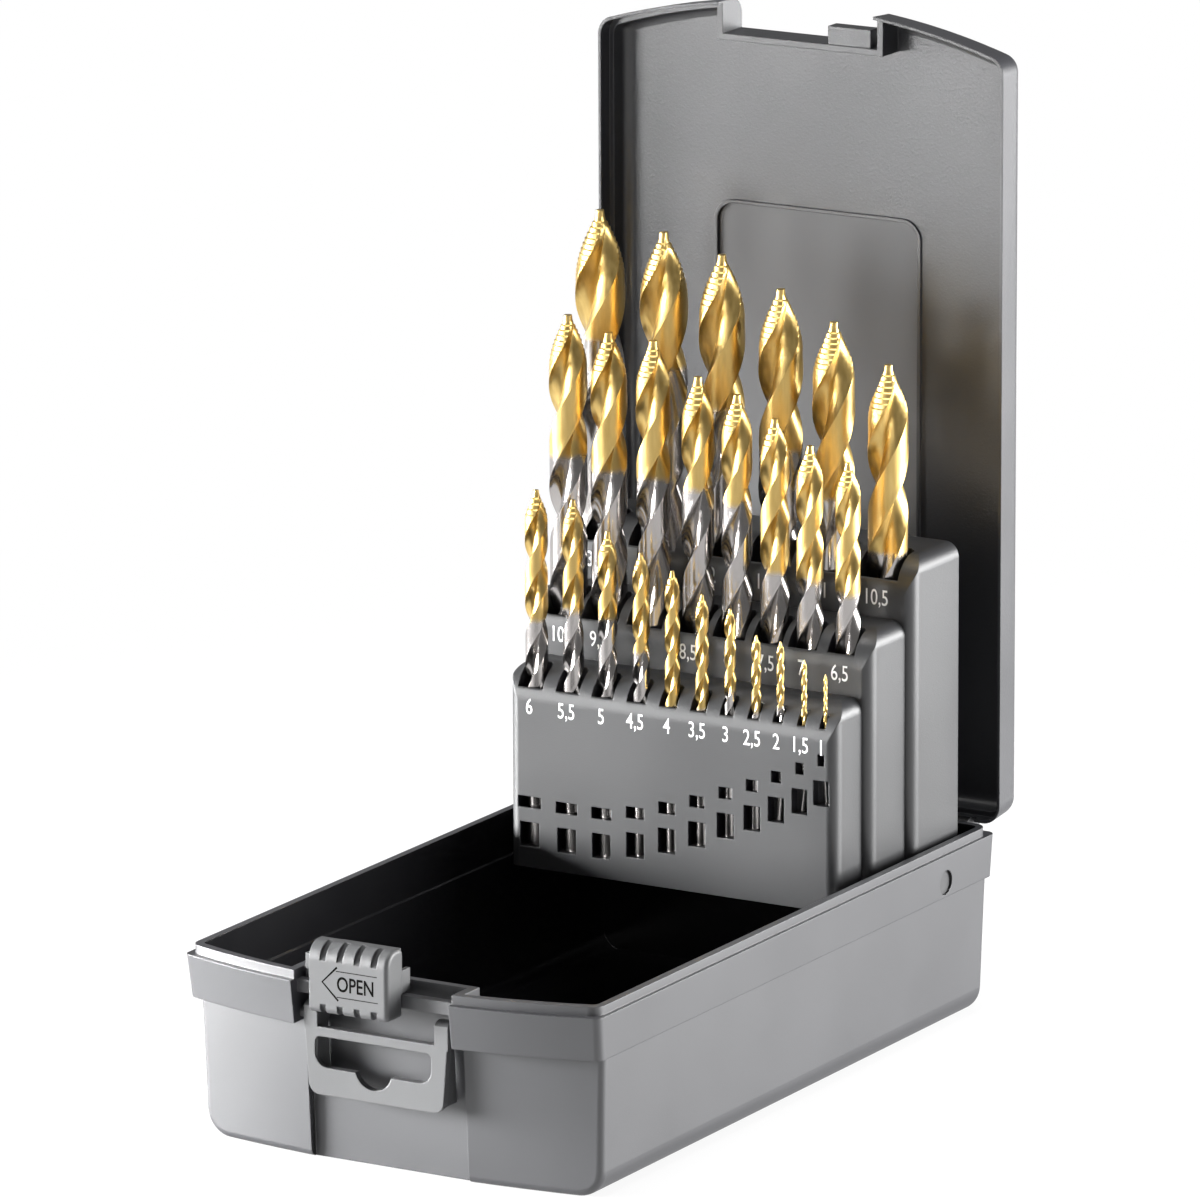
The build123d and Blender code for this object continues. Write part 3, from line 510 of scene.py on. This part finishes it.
def section_radius(angle, outline, smooth, web):
    """Radius at an angle from the land's centre, for arrays of radii, one for each height.

    On a land it is the outline, less a little outside the margin. Across the flute, with s
    from 0 to 1, it is web + (smooth - web) * g. The cutting face drops steeply,
    g = 1 - (s / FACE) ^ FACE_STEEP, and the heel rises slowly,
    g = ((s - FACE) / (1 - FACE)) ^ HEEL_RISE. Smooth is the outline without its steps, so the
    flutes stay smooth between the stepped lands of the point.
    """
    half = np.mod(angle + LAND, 180.0) - LAND
    s = np.clip((half - LAND) / FLUTE, 0, 1)
    face = 1 - (np.minimum(s, FACE) / FACE) ** FACE_STEEP
    heel = (np.maximum(s - FACE, 0) / (1 - FACE)) ** HEEL_RISE
    flute = web + (smooth - web) * (face + heel)
    on_margin = (half >= LAND - MARGIN) & (half <= LAND)
    land = np.where(on_margin, outline, outline * (1 - MARGIN_RISE))
    return np.where(half <= LAND, land, np.minimum(flute, land))


print("angles in half a section:", len(section_angles()))

# %% [markdown]
# Along its length a drill has a plain shank, a fluted body, a point that narrows in steps as on
# a step drill, and a small flat pilot. Each part gives its own rows of the grid: many along the
# body, where the flutes turn, and a handful on each step.
# %% The length of a drill
HELIX = math.radians(30)
TIP_SHARE = 1.3            # length of the stepped point, share of the diameter
TIP_TAPER = 1.65           # power of the point's outline
STEP = 1.35                # height of one step, mm
RISER = 0.22               # share of a step that slopes
STEP_DEPTH = 0.7           # share of the taper that the steps take; the treads take the rest
PILOT = 1.35               # radius of the flat pilot, mm, on large drills
PILOT_SHARE = 0.15         # and share of the diameter on small ones
PILOT_RISE = 0.13          # height of the pilot, share of the diameter
PILOT_FOOT = 0.96          # depth of its lowest row below its top, share of its height
PILOT_TOP = 0.9            # radius of its top, share of its own
SHANK = 0.28               # plain shank, share of the length
FOOT_RISE = 0.02           # height of the chamfer at the foot, share of the diameter
FOOT = (0.46, 0.49)        # radii below and above it, share of the diameter
RUNOUT = 0.8               # length over which the flutes deepen, share of the diameter
LEAD_ROWS = 44             # rows in one turn of the flutes
LEAST_ROWS = 24            # and at least in a body
TREAD_ROWS = (0.0, RISER, RISER + 0.02, 0.6, 0.99)  # rows on a step, share of its height


def stepped(share, steps):
    """A staircase from 0 to 1 whose risers are short slopes."""
    position = share * steps
    level = np.floor(position)
    riser = np.clip((position - level) / RISER, 0, 1)
    stairs = np.clip((level + riser) / steps, 0, 1)
    return np.minimum(STEP_DEPTH * stairs + (1 - STEP_DEPTH) * share, 1)


def length_profile(size, low, high):
    """Heights, then outline, smooth outline and web at each, in mm, and the flutes' lead.

    With t from 0 to 1 up the point, the smooth outline is size / 2 - fall * t ^ TIP_TAPER,
    down to the pilot's radius. The outline has a staircase of t in its place.
    """
    rise = PILOT_RISE * size
    tip = TIP_SHARE * size - rise
    pilot = min(PILOT, PILOT_SHARE * size)
    steps = max(2, round(tip / STEP))
    lead = math.pi * size / math.tan(HELIX)
    body_low = low + SHANK * (high - low)
    root = high - rise - tip
    rows = max(LEAST_ROWS, int((root - body_low) / (lead / LEAD_ROWS)))
    body = np.linspace(body_low, root, rows)
    tread = tip / steps
    marks = np.array(TREAD_ROWS) * tread
    point = (root + np.arange(steps)[:, None] * tread + marks[None, :]).ravel()[1:]
    share = (point - root) / tip
    heights = np.concatenate([[low, low + FOOT_RISE * size], body, point,
                              [high - PILOT_FOOT * rise, high]])
    straight = np.concatenate([np.multiply(FOOT, size), np.full(rows, size / 2)])
    fall = size / 2 - pilot
    ends = [pilot, PILOT_TOP * pilot]
    outline, smooth = (np.concatenate([straight, size / 2 - fall * t ** TIP_TAPER, ends])
                       for t in (stepped(share, steps), share))
    web = np.minimum(WEB * size, WEB_POINT * smooth)
    depth = np.clip((heights - body_low) / (RUNOUT * size), 0, 1)
    return heights, outline, smooth, smooth + (web - smooth) * depth, lead


print("a 10 mm drill has", len(length_profile(10, 0, 133)[0]), "rows")

# %% [markdown]
# Each drill was dropped into its pocket at its own turn. What sets the turn here is how far
# below the point a land's upper edge crosses the front of the drill. The table gives that
# distance in diameters for each size in millimetres, and the helix makes it an angle.
# %% How each drill is turned
CROSSING = {13.0: 1.90, 12.5: 1.79, 12.0: 2.00, 11.5: 2.00, 11.0: 2.25, 10.5: 2.35,
            10.0: 2.00, 9.5: 2.10, 9.0: 2.30, 8.5: 2.40, 8.0: 2.40, 7.5: 2.05, 7.0: 2.40,
            6.5: 2.40, 6.0: 2.43, 5.5: 2.45, 5.0: 2.60, 4.5: 1.85, 4.0: 2.20, 3.5: 2.30,
            3.0: 2.00, 2.5: 2.20, 2.0: 2.10, 1.5: 2.30, 1.0: 2.20}
FRONT = -59.5              # direction of the open front corner, degrees from +X


def point_turn(size):
    """Direction of a land's centre at the point, from the crossing and the helix."""
    per_diameter = 360 * math.tan(HELIX) / math.pi
    return FRONT + CROSSING[size] * per_diameter + LAND - 180


print("land of the 10 mm drill at", round(point_turn(10.0), 1), "degrees")

# %% [markdown]
# The two end faces are closed with a point in the middle. Grid, turn and caps are the same for
# all sizes, so one function builds any drill at its place. The rows at both ends have all their
# points in one place, so they are merged afterwards, and a hard edge is kept hard by its angle.
# %% Build one drill
DRILL_CREASE = 32          # edges that bend by more than this stay sharp, degrees
MERGE = 1e-6               # points nearer than this become one, metres


def drill_mesh(name, size, low, high, x, y):
    """Ring of two half sections at each height, turned by 360 degrees in each lead."""
    heights, outline, smooth, web, lead = length_profile(size, low, high)
    half = section_angles()
    angles = np.concatenate([half, half + 180])
    reach = section_radius(angles[None, :], outline[:, None], smooth[:, None], web[:, None])
    turn = point_turn(size) - 360 * (high - heights) / lead
    theta = np.radians(angles[None, :] + turn[:, None])
    points = np.stack([x + reach * np.cos(theta), y + reach * np.sin(theta),
                       np.broadcast_to(heights[:, None], reach.shape)], axis=-1)
    foot = np.broadcast_to([x, y, low], (1, len(angles), 3))
    top = np.broadcast_to([x, y, high], (1, len(angles), 3))
    return surface(name, np.concatenate([foot, points, top]) * MM, closed=True)


def close_mesh(mesh, crease):
    """Merge doubled points, point the faces outwards and keep hard edges hard."""
    work = bmesh.new()
    work.from_mesh(mesh)
    bmesh.ops.remove_doubles(work, verts=work.verts, dist=MERGE)
    bmesh.ops.recalc_face_normals(work, faces=work.faces)
    work.to_mesh(mesh)
    work.free()
    mesh.shade_smooth()
    mesh.set_sharp_from_angle(angle=math.radians(crease))


sample = drill_mesh("sample", 10, 0, 133, 0, 0)
print("a 10 mm drill has", len(sample.polygons), "faces")
bpy.data.meshes.remove(sample)

# %% [markdown]
# ## Drill finish
# The point end has a gold-coloured hard coating that fades into bare steel some way down. The
# height of that edge differs from drill to drill, so each drill stores it in an attribute of
# its own points: 1 at the point, 0 at the shank, and the material reads that. The table gives
# the coating's length in millimetres for each size.
# %% Coating edge of each drill
GOLD_LENGTH = {13.0: 33, 12.5: 36, 12.0: 40, 11.5: 42, 11.0: 46, 10.5: 49, 10.0: 37, 9.5: 36,
               9.0: 36, 8.5: 29, 8.0: 28, 7.5: 40, 7.0: 35, 6.5: 34, 6.0: 34, 5.5: 29, 5.0: 23,
               4.5: 26, 4.0: 36, 3.5: 30, 3.0: 22, 2.5: 20, 2.0: 17, 1.5: 18, 1.0: 15}
GOLD_FADE = 5.0            # height of the fading edge, mm
GOLD = (0.48, 0.31, 0.085)
GOLD_PALE = (0.74, 0.55, 0.22)
STEEL = (0.42, 0.40, 0.39)
GOLD_DULLER = 0.14         # roughness that the coating adds to the steel's
STEEL_ROUGH = (0.18, 0.26)
STREAKS = (900.0, 900.0, 120.0)   # scale of the streaks: 1 mm across the drill, 8 mm along it
EDGE_SCALE = 260.0         # patches a few millimetres wide along the coating's edge
EDGE_WANDER = 0.5          # how far they move the edge, share of its fade
COAT_RANGE = (0.25, 0.75)  # where in its fade the coating's colour comes in


def add_coating(mesh, high, gold):
    """Attribute coat = smooth 0..1 over the fading edge, from each point's height in mm."""
    co = np.empty(len(mesh.vertices) * 3)
    mesh.vertices.foreach_get("co", co)
    z = co.reshape(-1, 3)[:, 2] / MM
    coat = np.clip((z - (high - gold)) / GOLD_FADE + 0.5, 0, 1)
    attribute = mesh.attributes.new("coat", "FLOAT", "POINT")
    attribute.data.foreach_set("value", coat.astype(np.float32))


def drill_material():
    """Gold coating over ground steel; streaks vary the gold's tone and the gloss of both."""
    material, tree, out = new_material("drill_coated")
    shader = add(tree, "ShaderNodeBsdfPrincipled", Metallic=1.0)
    coat = add(tree, "ShaderNodeAttribute", attribute_name="coat")
    place = add(tree, "ShaderNodeTexCoord")
    stretch = add(tree, "ShaderNodeMapping", Scale=STREAKS)
    tree.links.new(place.outputs["Object"], stretch.inputs["Vector"])
    streaks = add(tree, "ShaderNodeTexNoise", Scale=1.0, Detail=2.0)
    tree.links.new(stretch.outputs[0], streaks.inputs["Vector"])
    edge = add(tree, "ShaderNodeTexNoise", Scale=EDGE_SCALE, Detail=2.0)
    tree.links.new(place.outputs["Object"], edge.inputs["Vector"])
    wander = math_node(tree, "SUBTRACT", edge.outputs["Fac"], 0.5)
    wander = math_node(tree, "MULTIPLY", wander, EDGE_WANDER)
    share = math_node(tree, "ADD", coat.outputs["Fac"], wander)
    mask = ramp(tree, share, *COAT_RANGE)
    gold = add(tree, "ShaderNodeMixRGB", Color1=(*GOLD, 1), Color2=(*GOLD_PALE, 1))
    tree.links.new(streaks.outputs["Fac"], gold.inputs["Fac"])
    color = add(tree, "ShaderNodeMixRGB", Color1=(*STEEL, 1))
    tree.links.new(mask, color.inputs["Fac"])
    tree.links.new(gold.outputs[0], color.inputs["Color2"])
    tree.links.new(color.outputs[0], shader.inputs["Base Color"])
    rough = ramp(tree, streaks.outputs["Fac"], *MASK_RANGE, *STEEL_ROUGH)
    duller = math_node(tree, "MULTIPLY", mask, GOLD_DULLER)
    tree.links.new(math_node(tree, "ADD", rough, duller), shader.inputs["Roughness"])
    relief = add(tree, "ShaderNodeBump", Strength=0.03, Distance=RELIEF)
    tree.links.new(streaks.outputs["Fac"], relief.inputs["Height"])
    tree.links.new(relief.outputs[0], shader.inputs["Normal"])
    tree.links.new(shader.outputs[0], out.inputs["Surface"])
    return material


drill_skin = drill_material()
print("drill finish made")

# %% [markdown]
# Each piece takes the name and the axis of the solid that it stands for, which stays in the
# frame, hidden, for collision. The piece rides on the racks' body, so it tilts with them.
# %% Build the set


def build_drill(name):
    """The fluted piece that stands for one drill solid, on the body that carries it."""
    size = sizes[name]
    low, high = (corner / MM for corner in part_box(name))
    x, y = (low[0] + high[0]) / 2, (low[1] + high[1]) / 2
    mesh = drill_mesh("fluted_" + name, size, low[2], high[2], x, y)
    close_mesh(mesh, DRILL_CREASE)
    add_coating(mesh, high[2], GOLD_LENGTH[size])
    mesh.materials.append(drill_skin)
    piece = link("fluted_" + name, mesh)
    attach(piece, "racks")
    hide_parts(name)
    return len(mesh.polygons)


faces = sum(build_drill(name) for name in drill_names)
print(len(drill_names), "drills,", faces, "faces")

# %% [markdown]
# ## Printed numbers
# Each pocket is marked with its drill's size in white, below the pocket's mouth. A number is a
# text that is turned into a mesh, stood upright and set a hair in front of the rack's face.
# %% Paint for the numbers
INK = (0.78, 0.78, 0.77)
INK_LIGHTER = (0.90, 0.90, 0.89)


def paint_material():
    """Matt white ink, mottled by the plastic's grain below it."""
    material, tree, out = new_material("number_white")
    shader = add(tree, "ShaderNodeBsdfPrincipled", Roughness=0.55)
    texture = add(tree, "ShaderNodeGroup", node_tree=grain)
    tone = add(tree, "ShaderNodeMixRGB", Color1=(*INK, 1), Color2=(*INK_LIGHTER, 1))
    tree.links.new(texture.outputs["Height"], tone.inputs["Fac"])
    tree.links.new(tone.outputs[0], shader.inputs["Base Color"])
    tree.links.new(shader.outputs[0], out.inputs["Surface"])
    return material


paint_skin = paint_material()
print("paint made")

# %% Write the numbers
DIGIT = 4.3                # height of a digit, mm
CAP_SHARE = 0.73           # height of a capital in the font, share of its size
NARROW = 0.74              # width of the digits against the font's
PROUD = 0.03               # thickness of the ink, mm
BOLD = 0.01                # how far a digit's outline is moved out, mm
NUMBER_DROP = 11.0         # middle of a number below the rack's top, mm


def text_mesh(words, height, narrow, thick, bold):
    """Words as a mesh in X and Y, centred, with a capital's height in mm."""
    curve = bpy.data.curves.new("words", "FONT")
    curve.body = words
    curve.size = height / CAP_SHARE
    curve.align_x, curve.align_y = "CENTER", "CENTER"
    curve.extrude = thick / 2
    curve.offset = bold
    curve.resolution_u = 6
    helper = bpy.data.objects.new("words", curve)
    mesh = bpy.data.meshes.new_from_object(helper)
    bpy.data.objects.remove(helper)
    mesh.transform(Matrix.Diagonal((narrow, 1, 1, 1)))
    return mesh


def upright(mesh, x, y, z):
    """Stand a flat mesh up, facing -Y, with its middle at a point in mm."""
    mesh.transform(Matrix.Diagonal((MM, MM, MM, 1)))
    turn = Matrix.Rotation(math.pi / 2, 4, "X")
    mesh.transform(Matrix.Translation((x * MM, y * MM, z * MM)) @ turn)
    mesh.materials.clear()


def rack_of(name):
    """The rack whose depth holds the drill's axis."""
    y = sum(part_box(name), Vector())[1] / 2
    for rack in ("rack_front", "rack_middle", "rack_rear"):
        low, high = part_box(rack)
        if low[1] < y < high[1]:
            return rack
    raise ValueError(name)


def write_number(name):
    """The size of a drill, written on its rack under the pocket."""
    low, high = (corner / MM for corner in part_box(rack_of(name)))
    axis = sum(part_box(name), Vector()) / 2 / MM
    words = f"{sizes[name]:g}".replace(".", ",")
    mesh = text_mesh(words, DIGIT, NARROW, PROUD, BOLD)
    upright(mesh, axis[0], low[1] - PROUD / 2, high[2] - NUMBER_DROP)
    mesh.materials.append(paint_skin)
    piece = link("number_" + name[6:], mesh)
    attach(piece, "racks")


for name in drill_names:
    write_number(name)
print(len(drill_names), "numbers written")

# %% [markdown]
# ## The word on the latch
# The latch says which way it opens. Word, arrow and rules are sunk lines in the real moulding,
# seen as dark strokes because they lie in shade. They are too fine for the solid, so they are made
# here as thin bands of painted shade that lie across its face, half in it and half in front.
# %% Shape a band
BAND_CREASE = 30           # edges that bend by more than this stay sharp, degrees


def stroke(points, width, thick):
    """Sections of a band along (x, z) points: each side is the line moved by half a width."""
    line = np.array(points, float)
    along = np.gradient(line, axis=0)
    along /= np.linalg.norm(along, axis=1, keepdims=True)
    side = np.stack([-along[:, 1], along[:, 0]], axis=1) * width / 2
    ring = np.stack([line - side, line + side], axis=1)
    flat = np.concatenate([ring, ring[:, ::-1]], axis=1)
    depth = np.broadcast_to([0.0, 0.0, thick, thick], flat.shape[:2])
    return np.stack([flat[..., 0], depth, flat[..., 1]], axis=-1)


def band(name, points, width, thick, y):
    """A thin closed band, its middle at the depth y: sizes in mm, mesh in metres."""
    grid = stroke(points, width, thick) + [0, y - thick / 2, 0]
    start, end = (np.broadcast_to(grid[i].mean(0), (1, 4, 3)) for i in (0, -1))
    mesh = surface(name, np.concatenate([start, grid, end]) * MM, closed=True)
    close_mesh(mesh, BAND_CREASE)
    return mesh


print("a function for bands")

# %% Mark the latch
LATCH_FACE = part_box("latch_slider")[0][1] / MM
# painted shade: the marks are thin near-black bands in place of the shade in the sunk lines
SHADE_BAND_THICK = 0.05               # thickness of the marks, mm
WORD_HEIGHT = 3.9
WORD_NARROW = 0.78         # width of the letters against the font's
WORD_BOLD = 0.07           # how far a letter's outline is moved out, mm
WORD_X, WORD_Z = -2.6, 49.8
ARROW = ((-7.9, 54.2), (-12.2, 50.0), (-7.6, 45.7))
ARROW_WIDTH = 0.50
RULES = (((-8.2, 53.2), (3.6, 53.2)), ((-8.0, 46.6), (3.8, 46.6)))
RULE_WIDTH = 0.20


def mark_latch(name, mesh):
    """Link a band of painted shade that slides with the latch."""
    mesh.materials.append(shade_mark_skin)
    piece = link(name, mesh)
    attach(piece, "latch")


word = text_mesh("OPEN", WORD_HEIGHT, WORD_NARROW, SHADE_BAND_THICK, WORD_BOLD)
upright(word, WORD_X, LATCH_FACE, WORD_Z)
mark_latch("latch_word", word)
mark_latch("latch_arrow", band("latch_arrow", ARROW, ARROW_WIDTH, SHADE_BAND_THICK, LATCH_FACE))
for i, rule in enumerate(RULES):
    mark_latch(f"latch_rule_{i}", band(f"latch_rule_{i}", rule, RULE_WIDTH, SHADE_BAND_THICK, LATCH_FACE))
print("latch marked with a word, an arrow and", len(RULES), "rules")
